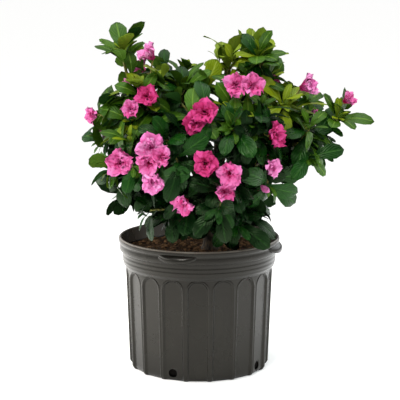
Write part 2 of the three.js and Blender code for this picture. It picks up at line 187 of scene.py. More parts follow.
def between(limits, share):
    return limits[0] + (limits[1] - limits[0]) * share


def smoothStep(value):
    value = np.clip(value, 0, 1)
    return value * value * (3 - 2 * value)


# Shader helpers. What goes into an input is a plain value, a colour's code or a socket to link.
def feed(tree, socket, value):
    if isinstance(value, bpy.types.NodeSocket):
        tree.links.new(value, socket)
    else:
        socket.default_value = linearColour(value) if isinstance(value, str) else value


def addNode(tree, kind, inputs=None, **settings):
    node = tree.nodes.new("ShaderNode" + kind)
    for key, value in settings.items():
        setattr(node, key, value)
    for key, value in (inputs or {}).items():
        feed(tree, node.inputs[key], value)
    return node


def newMaterial(name):
    material = bpy.data.materials.new(name)
    material.use_nodes = True
    return material, material.node_tree, material.node_tree.nodes["Principled BSDF"]


def setShader(tree, shader, **inputs):
    for key, value in inputs.items():
        feed(tree, shader.inputs[key.replace("_", " ")], value)


# The colour sockets of a mix are its inputs 6 and 7 and its output 2.
def mixColours(tree, share, first, second):
    return addNode(tree, "Mix", {0: share, 6: first, 7: second}, data_type="RGBA").outputs[2]


def maths(tree, operation, first, second=0.0):
    return addNode(tree, "Math", {0: first, 1: second}, operation=operation).outputs[0]


def times(tree, first, second):
    return maths(tree, "MULTIPLY", first, second)


def remap(tree, value, low, high, outLow=0.0, outHigh=1.0, style="SMOOTHSTEP"):
    inputs = {"Value": value, "From Min": low, "From Max": high, "To Min": outLow, "To Max": outHigh}
    return addNode(tree, "MapRange", inputs, interpolation_type=style).outputs["Result"]


# A node group that puts out values. Its inputs are a vector, where one is named, and values with defaults.
def newGroup(name, values, outputs, vector=None):
    group = bpy.data.node_groups.new(name, "ShaderNodeTree")
    if vector:
        group.interface.new_socket(vector, in_out="INPUT", socket_type="NodeSocketVector")
    for label, value in values.items():
        socket = group.interface.new_socket(label, in_out="INPUT", socket_type="NodeSocketFloat")
        socket.default_value = value
    for label in outputs:
        group.interface.new_socket(label, in_out="OUTPUT", socket_type="NodeSocketFloat")
    return group, group.nodes.new("NodeGroupInput").outputs, group.nodes.new("NodeGroupOutput").inputs


# Soft patches from one noise, as a mask.
def makePatches():
    values = {"Scale": 40.0, "From": 0.4, "To": 0.6}
    group, given, made = newGroup("patches", values, ["Mask"], vector="Place")
    cloud = addNode(group, "TexNoise", {"Vector": given["Place"], "Scale": given["Scale"], "Detail": 5.0})
    group.links.new(remap(group, cloud.outputs["Fac"], given["From"], given["To"]), made["Mask"])
    return group


# The place on a leaf's or petal's own UV map: across, and from root to tip.
def leafPlace(tree):
    split = addNode(tree, "SeparateXYZ", {0: addNode(tree, "UVMap", uv_map="leafMap").outputs["UV"]})
    return split.outputs["X"], split.outputs["Y"]


# A leaf's midrib and slanting side veins.
def makeLeafVeins():
    group, given, made = newGroup("leafVeins", {"Veins": 7.0, "Slant": 0.9}, ["Rib", "Vein", "Height"])
    over, up = leafPlace(group)
    side = maths(group, "ABSOLUTE", maths(group, "SUBTRACT", over, 0.5))
    rib = remap(group, side, 0.015, 0.075, 1.0, 0.0)
    along = maths(group, "SUBTRACT", up, times(group, side, given["Slant"]))
    wave = maths(group, "COSINE", times(group, times(group, along, given["Veins"]), fullTurn))
    swell, dip = times(group, wave, -0.35), times(group, rib, -1.0)
    group.links.new(rib, made["Rib"])
    group.links.new(remap(group, wave, 0.72, 1.0), made["Vein"])
    group.links.new(maths(group, "ADD", swell, dip), made["Height"])
    return group


# A petal's flush from its base and its long fine veins.
def makePetalFlush():
    group, given, made = newGroup("petalFlush", {"From": 0.15, "To": 0.75}, ["Flush", "Height"])
    over, up = leafPlace(group)
    stretched = addNode(group, "CombineXYZ", {0: times(group, over, 9.0), 1: times(group, up, 1.6)})
    streak = addNode(group, "TexNoise", {"Vector": stretched.outputs[0], "Scale": 2.0, "Detail": 3.0})
    shifted = maths(group, "ADD", up, times(group, streak.outputs["Fac"], 0.35))
    group.links.new(remap(group, shifted, given["From"], given["To"]), made["Flush"])
    group.links.new(streak.outputs["Fac"], made["Height"])
    return group


patches, leafVeins, petalFlush = makePatches(), makeLeafVeins(), makePetalFlush()


def usePatches(tree, where, scale, low, high):
    inputs = {"Place": where, "Scale": scale, "From": low, "To": high}
    return addNode(tree, "Group", inputs, node_tree=patches).outputs["Mask"]


def objectPlace(tree):
    return addNode(tree, "TexCoord").outputs["Object"]


def toneOf(tree):
    return addNode(tree, "Attribute", attribute_name="tone").outputs["Fac"]


def addBump(tree, shader, height, distance, strength):
    bump = addNode(tree, "Bump", {"Height": height, "Distance": distance, "Strength": strength})
    setShader(tree, shader, Normal=bump.outputs["Normal"])


# Moulded plastic: warm dark grey and cloudy. Patches are a noise's scale and where it starts and ends.
plasticLook = {
    # rim is the colour of the painted highlight along the rim's top edge
    "dark": "#100f0c", "light": "#161511", "dust": "#34312b", "rim": "#787066", "innerBrown": "#4c3f30",
    "clouds": (14.0, 0.35, 0.7), "specks": (55.0, 0.52, 0.8), "grain": (900.0, 0.2, 0.8),
    "innerWall": (0.1356, 0.1364), "mixLine": (0.2068, 0.2072), "rimHighlightBand": (0.2262, 0.2292),  # metres
    "dustShare": 0.05, "innerBrownShare": (0.55, 0.9), "rimHighlightShare": (0.5, 0.9),
    "rough": (0.24, 0.3), "specular": 0.29, "tint": (1.0, 0.96, 0.88, 1.0), "bump": (0.0001, 0.15),
}


def makePlastic():
    look = plasticLook
    material, tree, shader = newMaterial("mouldedPlastic")
    where = objectPlace(tree)
    cloud = usePatches(tree, where, *look["clouds"])
    dust = usePatches(tree, where, *look["specks"])
    colour = mixColours(tree, cloud, look["dark"], look["light"])
    colour = mixColours(tree, times(tree, dust, look["dustShare"]), colour, look["dust"])
    # the inside of the wall above the mix is tinted a paler brown in patches, and the rim's top edge is
    # painted pale in patches: a painted highlight
    split = addNode(tree, "SeparateXYZ", {0: where}).outputs
    flat = addNode(tree, "CombineXYZ", {0: split["X"], 1: split["Y"]}).outputs[0]
    radius = addNode(tree, "VectorMath", {0: flat}, operation="LENGTH").outputs["Value"]
    inside = remap(tree, radius, *look["innerWall"], 1, 0)
    inside = times(tree, inside, remap(tree, split["Z"], *look["mixLine"]))
    innerBrown = times(tree, inside, remap(tree, cloud, 0, 1, *look["innerBrownShare"]))
    colour = mixColours(tree, innerBrown, colour, look["innerBrown"])
    # a painted highlight: the rim's top edge is made pale, in patches that follow the dust noise
    top = remap(tree, split["Z"], *look["rimHighlightBand"])
    paintedRimHighlight = times(tree, top, remap(tree, dust, 0, 1, *look["rimHighlightShare"]))
    colour = mixColours(tree, paintedRimHighlight, colour, look["rim"])
    grain = usePatches(tree, where, *look["grain"])
    setShader(tree, shader, Base_Color=colour, Roughness=remap(tree, cloud, 0, 1, *look["rough"]),
              Specular_IOR_Level=look["specular"], Specular_Tint=look["tint"])
    addBump(tree, shader, grain, *look["bump"])
    return material


peatLook = {
    # the last pair is near-black: painted shade for the solid mix, which is seen only through the drain holes
    "mix": ("#241910", "#523c28"), "chip": ("#38281a", "#846446"), "holeShade": ("#060403", "#0e0906"),
    "clods": (90.0, 0.35, 0.68), "crumbs": (420.0, 0.4, 0.62), "crumbShare": 0.5, "toneShare": 0.5,
    "rough": 0.92, "specular": 0.1, "bump": (0.0012, 0.8),
}


def makePeat(name, kind):
    look = peatLook
    dark, light = look[kind]
    material, tree, shader = newMaterial(name)
    where = objectPlace(tree)
    clods = usePatches(tree, where, *look["clods"])
    crumbs = usePatches(tree, where, *look["crumbs"])
    colour = mixColours(tree, clods, dark, light)
    colour = mixColours(tree, times(tree, crumbs, look["crumbShare"]), colour, dark)
    colour = mixColours(tree, times(tree, toneOf(tree), look["toneShare"]), colour, light)
    setShader(tree, shader, Base_Color=colour, Roughness=look["rough"], Specular_IOR_Level=look["specular"])
    addBump(tree, shader, crumbs, *look["bump"])
    return material


barkLook = {
    "old": {"dark": "#20170f", "light": "#57462f", "grain": 0.0008},
    "young": {"dark": "#4a4a1a", "light": "#8c8c3c", "grain": 0.0003},
    "stretch": (1.0, 1.0, 0.35), "streaks": (240.0, 0.36, 0.66), "mottle": (60.0, 0.4, 0.65),
    "mottleShare": 0.4, "rough": 0.8, "bump": 0.8,
}


def makeBark(name, look):
    material, tree, shader = newMaterial(name)
    where = objectPlace(tree)
    stretch = addNode(tree, "Mapping", {"Vector": where, "Scale": barkLook["stretch"]}).outputs[0]
    streaks = usePatches(tree, stretch, *barkLook["streaks"])
    mottle = usePatches(tree, where, *barkLook["mottle"])
    colour = mixColours(tree, streaks, look["dark"], look["light"])
    colour = mixColours(tree, times(tree, mottle, barkLook["mottleShare"]), colour, look["dark"])
    setShader(tree, shader, Base_Color=colour, Roughness=barkLook["rough"])
    addBump(tree, shader, streaks, look["grain"], barkLook["bump"])
    return material


# Leaves from the oldest, deep and bluish, to the freshest, yellow-green. The two deepest looks are partly
# painted shade for the crown's middle and low shoots.
leafLooks = {
    "deep": {"dark": "#010602", "light": "#032106", "rib": "#16380f", "under": "#0d240a", "gloss": 0.26},
    "dark": {"dark": "#021804", "light": "#103e0b", "rib": "#2c581a", "under": "#193c10", "gloss": 0.24},
    "mid": {"dark": "#1b3c07", "light": "#42690f", "rib": "#729636", "under": "#476a1a", "gloss": 0.27},
    "light": {"dark": "#4e6802", "light": "#8a9c0c", "rib": "#a6ba48", "under": "#6f8a22", "gloss": 0.32},
    "fresh": {"dark": "#668012", "light": "#90a426", "rib": "#b2c258", "under": "#839a30", "gloss": 0.38},
}
leafSurface = {
    "blotches": (70.0, 0.3, 0.75), "toneShare": 0.65, "blotchShare": 0.4, "veinShare": 0.18, "ribShare": 0.6,
    "roughRange": 0.12, "backRough": 0.85, "specular": 0.25, "tint": (0.62, 1.0, 0.48, 1.0),
    "bump": (0.0008, 0.5),
}


def makeLeafMaterial(name, look):
    own = leafSurface
    material, tree, shader = newMaterial(name + "Leaf")
    veins = addNode(tree, "Group", node_tree=leafVeins).outputs
    blotch = usePatches(tree, objectPlace(tree), *own["blotches"])
    tone = times(tree, toneOf(tree), own["toneShare"])
    share = maths(tree, "ADD", tone, times(tree, blotch, own["blotchShare"]))
    colour = mixColours(tree, share, look["dark"], look["light"])
    for mask, strength in (("Vein", own["veinShare"]), ("Rib", own["ribShare"])):
        colour = mixColours(tree, times(tree, veins[mask], strength), colour, look["rib"])
    back = addNode(tree, "NewGeometry").outputs["Backfacing"]
    colour = mixColours(tree, back, colour, look["under"])
    rough = remap(tree, blotch, 0, 1, look["gloss"], look["gloss"] + own["roughRange"])
    rough = maths(tree, "MAXIMUM", rough, times(tree, back, own["backRough"]))
    setShader(tree, shader, Base_Color=colour, Roughness=rough, Specular_IOR_Level=own["specular"],
              Specular_Tint=own["tint"])
    addBump(tree, shader, veins["Height"], *own["bump"])
    return material


# edge is the petals' pale margin: partly their own colour, partly a painted highlight
petalLooks = {
    "hot": {"base": "#8c0234", "body": "#ae1054", "edge": "#e6529c"},
    "pink": {"base": "#c00e5c", "body": "#da3a8c", "edge": "#f28ecc"},
    "light": {"base": "#d43c90", "body": "#ec66b8", "edge": "#fcaee2"},
}
petalSurface = {
    "flush": (0.25, 0.8), "edge": (0.6, 1.0), "rough": 0.6, "specular": 0.15, "bump": (0.0005, 0.5),
}


def makePetalMaterial(name, look):
    own = petalSurface
    material, tree, shader = newMaterial(name + "Petal")
    low, high = own["flush"]
    petal = addNode(tree, "Group", {"From": low, "To": high}, node_tree=petalFlush).outputs
    colour = mixColours(tree, petal["Flush"], look["base"], look["body"])
    # the pale margin towards the tips, partly the petals' own colour and partly a painted highlight
    edge = times(tree, remap(tree, petal["Flush"], *own["edge"]), toneOf(tree))
    colour = mixColours(tree, edge, colour, look["edge"])
    setShader(tree, shader, Base_Color=colour, Roughness=own["rough"], Specular_IOR_Level=own["specular"])
    addBump(tree, shader, petal["Height"], *own["bump"])
    return material


plasticFinish = makePlastic()
peatFinish, chipFinish = makePeat("pottingMix", "mix"), makePeat("barkChip", "chip")
oldBark, youngBark = makeBark("oldBark", barkLook["old"]), makeBark("youngBark", barkLook["young"])
leafFinishes = {name: makeLeafMaterial(name, look) for name, look in leafLooks.items()}
petalFinishes = {name: makePetalMaterial(name, look) for name, look in petalLooks.items()}
print("finishes are made")


# The pot: a turned wall with flat, round-topped panels pushed in, and finger grips under the rim.
pot = {
    "height": 230, "foot": 117, "body": 127, "band": 134, "collar": 138.5, "rim": 140, "wall": 4, "floor": 3,
    "straight": (6, 168), "bevel": 4, "steps": 720, "rings": 0.2, "ringPitch": 7.4,
    # step is how deep a panel is pushed in, edge how wide its soft edge is, line the raised line round it
    "panels": 18, "phase": -0.8, "width": 36, "top": 176, "step": 2.5, "edge": 2.9,
    "line": 0.8, "lineWidth": 1.1,
    # where the turned columns of each half panel go, closest together at the panel's edge
    "columns": (0, 0.7, 1.4, 2.1, 2.8, 3.5, 4.2, 4.8, 5.4, 5.9, 6.3, 6.6, 6.9, 7.2, 7.5, 7.8, 8, 8.3, 8.7,
                9.3, 10),
    "edgeColumn": 8,
    "grips": (-105.8, -15.8, 74.2), "gripHalf": 14.5, "gripReach": 147, "gripTop": 222,
    "holes": (-112, -32, 68, 148), "holeRadius": 7.5, "holeUp": 13,
}


def bodyRadiusAt(height):
    low, high = pot["straight"]
    share = (height - low) / (high - low)
    return between((pot["foot"] + pot["bevel"], pot["body"]), share)


# Radius and heading of a point of the pot.
def polar(vert):
    return math.hypot(vert.co.x, vert.co.y), math.degrees(math.atan2(vert.co.y, vert.co.x))


def turnProfile(bm, profile, degrees=360, steps=pot["steps"], closed=False, start=0.0):
    turn = Matrix.Rotation(math.radians(start), 3, "Z")
    verts = [bm.verts.new(turn @ Vector((radius, 0, height))) for radius, height in profile]
    edges = [bm.edges.new(pair) for pair in zip(verts, verts[1:] + (verts[:1] if closed else []))
             if pair[0] is not pair[1]]
    bmesh.ops.spin(bm, geom=verts + edges, cent=(0, 0, 0), axis=(0, 0, 1), angle=math.radians(degrees),
                   steps=steps, use_merge=degrees == 360)


def potProfile():
    body, foot, band, collar, rim = pot["body"], pot["foot"], pot["band"], pot["collar"], pot["rim"]
    outer = [(0.001, 0), (60, 0), (105, 0), (113, 0), (foot - 0.8, 0), (foot + 0.6, 0.8)]
    outer += [(bodyRadiusAt(6) - 1.5, 3.2), (bodyRadiusAt(6), 6)]
    outer += [(bodyRadiusAt(z), z) for z in (12, 24, 48, 80, 112, 136, 150, *np.arange(152, 177.5, 0.9))]
    outer += [(body + 1.0, 178.2), (body + 1.6, 179)]
    # shallow rings moulded round the band
    for z in np.arange(180, 206.1, 0.8):
        base = np.interp(z, (180, 184, 190, 205), (body + 2.4, band - 2, band - 0.8, band - 0.1))
        outer.append((base + pot["rings"] * math.cos((z - 182) * fullTurn / pot["ringPitch"]), z))
    outer += [(band + 0.6, 206.6), (collar - 1.1, 207.2), (collar - 0.1, 208.2), (collar, 212)]
    outer += [(collar - 0.2, 217), (collar - 0.6, 219), (collar - 0.2, 220.6), (rim - 0.4, 221.6)]
    outer += [(rim, 223), (rim, 227), (rim - 0.4, 228.6), (rim - 1.4, 229.7), (rim - 2.6, pot["height"])]
    inner = [(136.2, 229.7), (135.2, 228.8), (134.6, 226), (132.8, 217), (130, 205), (124, 180), (123.2, 176)]
    inner += [(bodyRadiusAt(8) - pot["wall"], 8), (113, pot["floor"] + 0.6)]
    inner += [(radius, pot["floor"]) for radius in (110, 50, 0.001)]
    return outer + inner


def pressPanels(bm):
    half = pot["width"] / 2
    arch = pot["top"] - half
    pitch = 360 / pot["panels"]
    evenly = np.linspace(0, pitch / 2, len(pot["columns"]))
    low = pot["straight"][0]
    for vert in bm.verts:
        (radius, heading), z = polar(vert), vert.co.z
        outside = min(bodyRadiusAt(max(z, low)), bodyRadiusAt(low) - (low - z) * 0.8) - pot["step"]
        if z > pot["top"] + 1 or radius < outside:
            continue
        off = (heading + 90 - pot["phase"] + pitch / 2) % pitch - pitch / 2
        moved = np.interp(abs(off), evenly, pot["columns"])
        edges = (0, math.degrees(half / radius), pitch / 2)
        moved = np.interp(moved, (0, pot["edgeColumn"], pitch / 2), edges)
        heading += math.copysign(moved, off) - off
        off = math.copysign(moved, off)
        side = math.radians(off) * radius
        inside = half - (abs(side) if z < arch else math.hypot(side, z - arch))
        share = float(smoothStep(inside / pot["edge"]))
        flat = (radius * math.cos(half / radius) - pot["step"]) / math.cos(math.radians(off))
        # a fine raised line round each panel
        line = pot["line"] * math.exp(-((inside / pot["lineWidth"] + 1.0) ** 2))
        vert.co.xy = place(heading, radius + (flat - radius) * share + line, 0)[:2]


def addGrip(bm, heading):
    half, reach, crest = pot["gripHalf"], pot["gripReach"], pot["gripTop"]
    collar = pot["collar"] - 1.2
    lip = [(collar, 223.5), (collar + 3.5, 222.6), (reach - 2.4, 219.4), (reach - 0.5, 217.4), (reach, 215)]
    lip += [(reach - 0.3, 212), (reach - 1.2, 210.2), (reach - 2.6, 210.4), (reach - 3.4, 212.5)]
    lip += [(reach - 4.2, 214.5), (collar + 2.5, 216.6), (collar, 216.8)]
    before = set(bm.verts)
    turnProfile(bm, lip, 2 * half, 36, closed=True, start=heading - half)
    fresh = [vert for vert in bm.verts if vert not in before]
    for vert in fresh:
        radius, turned = polar(vert)
        bow = max(0.0, 1 - (abs((turned - heading + 180) % 360 - 180) / half) ** 2.2)
        pulled = collar + (radius - collar) * bow**0.7
        vert.co.z = crest + (vert.co.z - crest) * (0.35 + 0.75 * bow**0.8)
        vert.co.xy *= pulled / radius
    ends = [edge for edge in bm.edges if edge.is_boundary and all(vert in fresh for vert in edge.verts)]
    bmesh.ops.holes_fill(bm, edges=ends, sides=len(lip))


def cutHoles(shell):
    bm = bmesh.new()
    for heading in pot["holes"]:
        spot = Matrix.Translation(Vector(place(heading, pot["foot"], pot["holeUp"]) * toMetres))
        turn = Matrix.Rotation(math.radians(heading), 4, "Z") @ Matrix.Rotation(math.radians(90), 4, "Y")
        radius = pot["holeRadius"] * toMetres
        bmesh.ops.create_cone(bm, cap_ends=True, segments=40, radius1=radius, radius2=radius, depth=0.024,
                              matrix=spot @ turn)
    drill = linkMesh("drill", bm, plasticFinish)
    cut = shell.modifiers.new("holes", "BOOLEAN")
    cut.object, cut.operation, cut.solver = drill, "DIFFERENCE", "EXACT"
    holed = bpy.data.meshes.new_from_object(shell.evaluated_get(bpy.context.evaluated_depsgraph_get()))
    shell.modifiers.clear()
    shell.data = holed
    bpy.data.objects.remove(drill)


def makePot():
    bm = bmesh.new()
    turnProfile(bm, potProfile(), start=pot["phase"])
    bmesh.ops.remove_doubles(bm, verts=bm.verts, dist=0.01)
    pressPanels(bm)
    for heading in pot["grips"]:
        addGrip(bm, heading)
    bmesh.ops.recalc_face_normals(bm, faces=bm.faces)
    bmesh.ops.scale(bm, vec=(toMetres,) * 3, verts=bm.verts)
    shell = linkMesh("potShell", bm, plasticFinish)
    cutHoles(shell)
    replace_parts(shell, "pot")
    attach(shell, "root")


makePot()
print("pot is turned and pressed")

# Potting mix: the solid below keeps its shape, and lumps and bark chips lie on it.
peat = {
    "top": 205, "reach": 129, "edge": 6, "sunk": 1.5, "raised": 3.4,
    "lump": 3.2, "lumpWidth": 26, "crumb": 1.4, "crumbWidth": 5,
}
# width and thickness are shares of a chip's size, and lift is over the solid mix
chips = {
    "count": 620, "size": (3, 9), "width": (0.4, 0.8), "thickness": (0.2, 0.45), "lift": (2.2, 3.8),
    "worn": 0.16, "seed": 41,
}


def joinCopies(name, copies, material, smooth=True):
    counts = np.cumsum([0] + [len(copy["points"]) for copy in copies])
    points = np.concatenate([copy["points"] for copy in copies]) * toMetres
    faces = np.concatenate([copy["faces"] + first for copy, first in zip(copies, counts)])
    mesh = bpy.data.meshes.new(name)
    mesh.vertices.add(len(points))
    mesh.vertices.foreach_set("co", points.astype(np.float32).ravel())
    mesh.loops.add(faces.size)
    mesh.loops.foreach_set("vertex_index", faces.astype(np.int32).ravel())
    mesh.polygons.add(len(faces))
    mesh.polygons.foreach_set("loop_start", np.arange(0, faces.size, 3, dtype=np.int32))
    mesh.polygons.foreach_set("use_smooth", np.full(len(faces), smooth))
    mesh.update(calc_edges=True)
    if "map" in copies[0]:
        maps = np.concatenate([copy["map"] for copy in copies])
        mesh.uv_layers.new(name="leafMap").data.foreach_set("uv", maps.astype(np.float32).ravel())
    tone = mesh.attributes.new("tone", "FLOAT", "POINT")
    tones = np.concatenate([np.full(len(copy["points"]), copy["tone"]) for copy in copies])
    tone.data.foreach_set("value", tones.astype(np.float32))
    mesh.materials.append(material)
    mesh.validate()
    piece = addObject(name, mesh)
    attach(piece, "root")
    print(name, len(faces), "triangles")
    return piece


# A shape made in bmesh, as arrays of points, triangles and UV corners.
def arraysOf(bm, mapped=False):
    bmesh.ops.triangulate(bm, faces=bm.faces)
    bm.verts.index_update()
    made = {
        "points": np.array([vert.co[:] for vert in bm.verts]),
        "faces": np.array([[vert.index for vert in face.verts] for face in bm.faces]),
    }
    if mapped:
        layer = bm.loops.layers.uv["leafMap"]
        made["map"] = np.array([loop[layer].uv[:] for face in bm.faces for loop in face.loops])
    bm.free()
    return made


def makePeatTop():
    bm = bmesh.new()
    turnProfile(bm, [(0.001, 0)] + [(radius, 0) for radius in np.linspace(3, peat["reach"], 44)], steps=150)
    bmesh.ops.remove_doubles(bm, verts=bm.verts, dist=0.01)
    bmesh.ops.recalc_face_normals(bm, faces=bm.faces)
    for vert in bm.verts:
        spot = Vector((vert.co.x, vert.co.y, 0))
        edge = float(smoothStep((peat["reach"] - vert.co.length) / peat["edge"]))
        lumps = noise.fractal(spot / peat["lumpWidth"], 1.0, 2.0, 4) * peat["lump"]
        lumps += noise.noise(spot / peat["crumbWidth"]) * peat["crumb"]
        vert.co.z = peat["top"] - peat["sunk"] + edge * (peat["raised"] + max(-peat["crumb"], lumps))
    bmesh.ops.scale(bm, vec=(toMetres,) * 3, verts=bm.verts)
    top = linkMesh("peatTop", bm, peatFinish)
    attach(top, "root")
    # the solid mix below is seen only through the drain holes, and its near-black colour is painted shade
    # there
    below = frame["nodes"]["soil"]
    below.data.materials.clear()
    below.data.materials.append(makePeat("holeShadePeat", "holeShade"))


def makeChips():
    bm = bmesh.new()
    bmesh.ops.create_cube(bm, size=1)
    bmesh.ops.bevel(bm, geom=bm.edges[:], offset=chips["worn"], segments=1, profile=0.5, affect="EDGES",
                    material=-1)
    shape = arraysOf(bm)
    draw = makeRandom(chips["seed"] * seedStep)
    copies = []
    for _ in range(chips["count"]):
        out = (peat["reach"] - peat["edge"]) * math.sqrt(draw())
        spot = place(360 * draw(), out, peat["top"] + between(chips["lift"], draw()))
        size = between(chips["size"], draw() ** 2)
        width, thickness = between(chips["width"], draw()), between(chips["thickness"], draw())
        scale = np.array([size, size * width, size * thickness])
        aim = unit(np.array([draw() - 0.5, draw() - 0.5, 0.5 * (draw() - 0.5)]))
        side, up = across(aim)
        points = (shape["points"] * scale) @ np.stack([aim, side, up]) + spot
        copies.append({"points": points, "faces": shape["faces"], "tone": draw()})
    joinCopies("barkChips", copies, chipFinish, smooth=False)


makePeatTop()
makeChips()
print("potting mix is laid")

# The growing rule's sizes, the same as in the solid model, and what carries it on to finer wood.
trunk = {"foot": (20, -8), "top": (8, -4, 264), "ground": 205.3, "radius": 9.5, "flare": 0.8}
bough = {"tip": 2.8, "taper": 0.013, "bend": 0.25}
stem = {"radius": 2.9, "tip": 2.1}
twig = {"radius": 1.8, "length": 46, "tilt": 58}
leaf = {"length": 64, "droop": 0.2, "apart": 3}
bloom = {"radius": 25, "depth": 15, "collar": 3, "tilt": 80}
core = np.array([0.0, 0.0, 350.0])

# One row for each shoot, as in the solid model. fresh is how young its leaves are, from 0 to 1. Each bloom
# has its heading, out, up and size, how far it is open and its colour.
shootFields = ("name", "parent", "at", "heading", "out", "up", "rise", "stem", "twigs", "leaves", "spread",
               "seed", "fresh", "blooms")
shootRows = [
    ("top_centre", "trunk", 0.97, 6, 51, 533, 84, 42, 1, 6, 38, 244, 0.92, []),
    ("left", "trunk", 0.9, -154, 129, 434, 18, 42, 2, 6, 65, 74, 0.52,
     [(-162, 191, 453, 0.6, "half", "pink")]),
    ("right_mid", "trunk", 0.86, -16, 192, 401, 8, 44, 3, 6, 67, 27, 0.36, []),
    ("front_centre", "trunk", 0.8, -75, 159, 345, 14, 40, 1, 6, 59, 259, 0.1,
     [(-87, 190, 387, 1, "open", "hot"), (-74, 198, 373, 1, "open", "pink"),
      (-78, 184, 333, 0.85, "half", "pink")]),
    ("back_centre", "trunk", 0.84, 96, 167, 419, 20, 44, 2, 6, 76, 74, 0.3,
     [(98, 205, 425, 1, "open", "pink"), (84, 212, 385, 0.9, "open", "hot")]),
    ("lower_left", "trunk", 0.55, -157, 127, 339, -4, 40, 2, 6, 77, 304, 0.08, []),
    ("front_low_right", "trunk", 0.5, -49, 117, 283, 4, 36, 2, 6, 77, 145, 0.12, []),
    ("top_left", "left", 0.5, -160, 138, 548, 76, 42, 1, 7, 39, 387, 0.6, []),
    ("upper_left", "left", 0.34, -138, 128, 493, 80, 36, 1, 7, 50, 377, 0.7,
     [(-144, 102, 554, 0.8, "half", "light")]),
    ("left_shoulder", "left", 0.6, -144, 130, 466, 42, 36, 1, 6, 63, 299, 0.42,
     [(-154, 135, 502, 0.45, "bud", "light"), (-126, 152, 492, 0.9, "open", "hot"),
      (-135, 165, 466, 0.7, "half", "pink")]),
    ("left_mid", "left", 0.4, -133, 172, 379, 4, 38, 2, 6, 65, 100, 0.45,
     [(-137, 191, 378, 1.1, "open", "pink")]),
    ("back_left", "left", 0.3, 149, 169, 399, 16, 42, 2, 6, 81, 115, 0.35,
     [(148, 212, 420, 0.95, "open", "pink")]),
    ("centre_left_top", "top_centre", 0.4, -118, 64, 492, 84, 44, 1, 7, 45, 329, 0.55, []),
    ("top_right", "top_centre", 0.5, 2, 109, 531, 66, 42, 2, 6, 37, 298, 0.62, []),
    ("back_left_top", "top_centre", 0.3, 129, 98, 494, 62, 42, 2, 6, 76, 61, 0.5,
     [(140, 138, 520, 0.9, "open", "light")]),
    ("back_right_top", "top_centre", 0.36, 51, 141, 492, 62, 42, 2, 6, 58, 284, 0.55,
     [(48, 150, 528, 1, "half", "pink")]),
    ("right_upper", "right_mid", 0.45, -6, 154, 450, 56, 44, 2, 6, 53, 139, 0.75,
     [(-6, 184, 498, 0.85, "half", "light"), (9, 130, 500, 0.5, "half", "pink")]),
    ("right_far", "right_mid", 0.66, 0, 241, 435, 34, 46, 1, 6, 43, 158, 0.58,
     [(-3, 256, 470, 0.6, "half", "pink")]),
    ("lower_right", "right_mid", 0.38, -36, 139, 380, -6, 40, 2, 6, 68, 243, 0.25,
     [(-45, 172, 368, 0.7, "half", "light"), (-43, 150, 333, 0.45, "bud", "light")]),
    ("back_right", "right_mid", 0.3, 40, 229, 406, 18, 44, 2, 6, 61, 272, 0.35,
     [(28, 246, 418, 0.95, "open", "pink")]),
    ("front_upper", "front_centre", 0.34, -90, 131, 449, 50, 40, 2, 6, 50, 182, 0.36,
     [(-94, 156, 455, 1, "open", "hot"), (-86, 156, 471, 1, "open", "hot")]),
    ("upper_centre", "front_centre", 0.26, -54, 92, 461, 62, 40, 1, 6, 50, 258, 0.55,
     [(-62, 138, 510, 0.95, "half", "pink"), (-56, 153, 507, 0.95, "half", "pink")]),
    ("front_left", "front_centre", 0.46, -109, 161, 418, 16, 38, 1, 6, 53, 266, 0.15,
     [(-117, 191, 418, 1.1, "open", "light"), (-116, 194, 390, 0.85, "half", "pink"),
      (-109, 188, 393, 0.8, "half", "pink"), (-116, 188, 353, 0.9, "open", "light")]),
    ("front_low_left", "front_centre", 0.2, -112, 112, 292, -2, 36, 2, 6, 72, 187, 0.1,
     [(-98, 167, 316, 0.95, "open", "pink")]),
    ("front_right", "front_centre", 0.4, -57, 152, 437, 24, 40, 2, 6, 58, 234, 0.3,
     [(-50, 195, 429, 1, "open", "hot")]),
    ("back_low_left", "back_centre", 0.22, 112, 157, 295, -2, 38, 2, 6, 75, 197, 0.1,
     [(132, 188, 330, 0.9, "open", "light")]),
    ("back_low_right", "back_centre", 0.28, 65, 200, 307, -2, 38, 2, 6, 59, 170, 0.1,
     [(52, 198, 335, 0.9, "half", "hot")]),
]
shoots = [dict(zip(shootFields, row)) for row in shootRows]


class Curve:
    # A three-point bend, read by its share of the length as the solid model reads it.
    def __init__(self, start, bend, end):
        self.points = [np.array(start, float), np.array(bend, float), np.array(end, float)]
        steps = np.linspace(0, 1, 201)
        line = self.at(steps)
        walked = np.concatenate([[0], np.cumsum(np.linalg.norm(np.diff(line, axis=0), axis=1))])
        self.length, self.shares, self.steps = walked[-1], walked / walked[-1], steps

    def at(self, t):
        t = np.asarray(t, float)[..., None]
        a, b, c = self.points
        return a * (1 - t) ** 2 + b * 2 * t * (1 - t) + c * t**2

    def pointAt(self, share):
        return self.at(np.interp(share, self.shares, self.steps))

    def aimAt(self, share):
        return unit(self.pointAt(min(1, share + 0.01)) - self.pointAt(max(0, share - 0.01)))


def awayFromCore(point):
    return unit(point - core)


